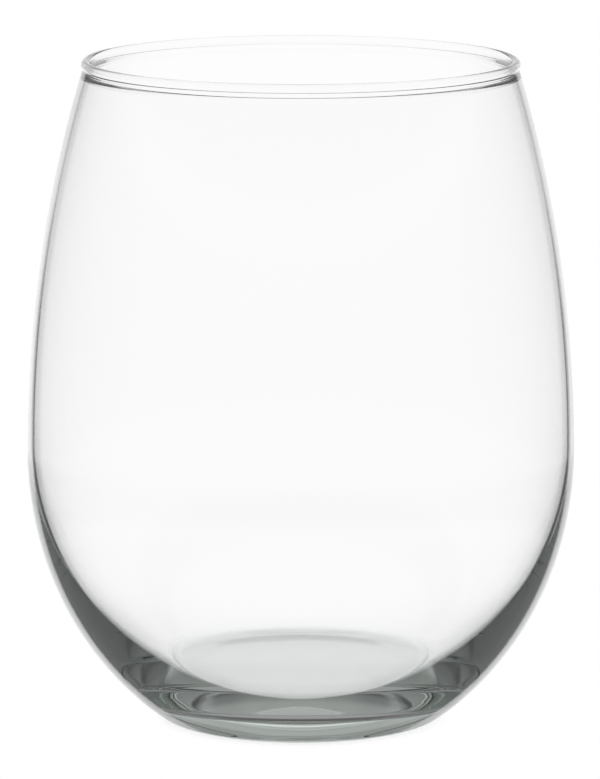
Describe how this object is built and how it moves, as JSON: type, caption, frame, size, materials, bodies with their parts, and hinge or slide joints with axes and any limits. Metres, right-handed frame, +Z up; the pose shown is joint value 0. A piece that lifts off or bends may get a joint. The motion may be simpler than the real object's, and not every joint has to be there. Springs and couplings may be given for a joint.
{
  "type": "stemless wine glass",
  "caption": "Clear glass tumbler for wine: an egg-shaped bowl that narrows to a rounded lip, on a thick base with a flat ring and a shallow hollow under it.",
  "frame": {"origin": "on the table, in the middle of the ring that the glass stands on", "axes": "+Z up along the axis of the glass, out of its mouth; it is round, so +X and +Y are alike"},
  "size_m": [0.0916, 0.0916, 0.111],
  "materials": {
    "clear_glass": "clear soda-lime glass, smooth and glossy, faintly green where it is thick"
  },
  "bodies": {
    "root": {"glass": "clear_glass"}
  },
  "joints": []
}
